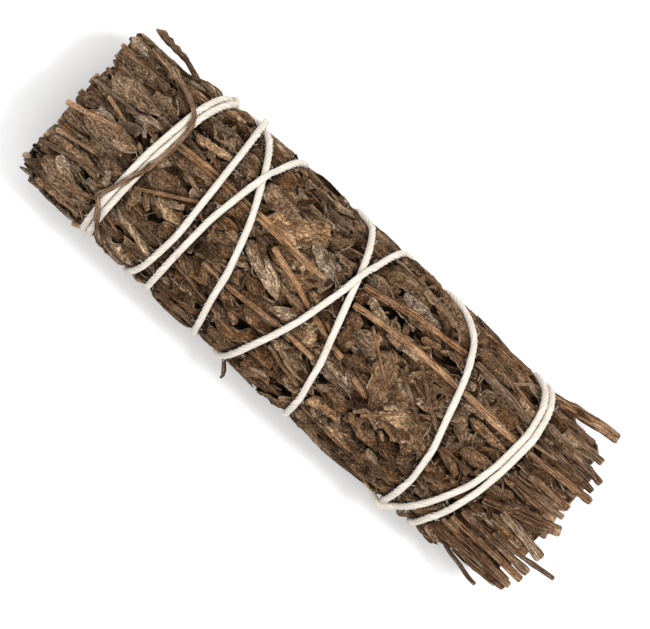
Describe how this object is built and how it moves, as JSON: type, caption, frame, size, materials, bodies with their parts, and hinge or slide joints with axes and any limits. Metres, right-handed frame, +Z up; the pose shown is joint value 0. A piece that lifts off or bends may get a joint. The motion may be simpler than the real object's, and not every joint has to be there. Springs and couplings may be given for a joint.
{
  "type": "dried herb bundle",
  "caption": "Dried sage bunch, rolled tight, wound criss-cross with cotton string and cut off at both ends.",
  "frame": {"origin": "centre of the flat spot under the bunch that it rests on", "axes": "+X along the bunch towards the cut stem ends, +Z up"},
  "size_m": [0.1079, 0.0363, 0.0319],
  "materials": {
    "foliage": "matte",
    "stem": "matte",
    "string": "matte"
  },
  "bodies": {
    "root": {"leafy_stem_01": "foliage", "leafy_stem_02": "foliage", "leafy_stem_03": "foliage", "leafy_stem_04": "foliage", "leafy_stem_05": "foliage", "leafy_stem_06": "foliage", "leafy_stem_07": "foliage", "leafy_stem_08": "foliage", "leafy_stem_09": "foliage", "leafy_stem_10": "foliage", "leafy_stem_11": "foliage", "leafy_stem_12": "foliage", "inner_stem_1": "foliage", "inner_stem_2": "foliage", "inner_stem_3": "foliage", "inner_stem_4": "foliage", "inner_stem_5": "foliage", "inner_stem_6": "foliage", "middle_stem": "foliage", "bent_twig": "stem", "binding_string": "string"}
  },
  "joints": []
}
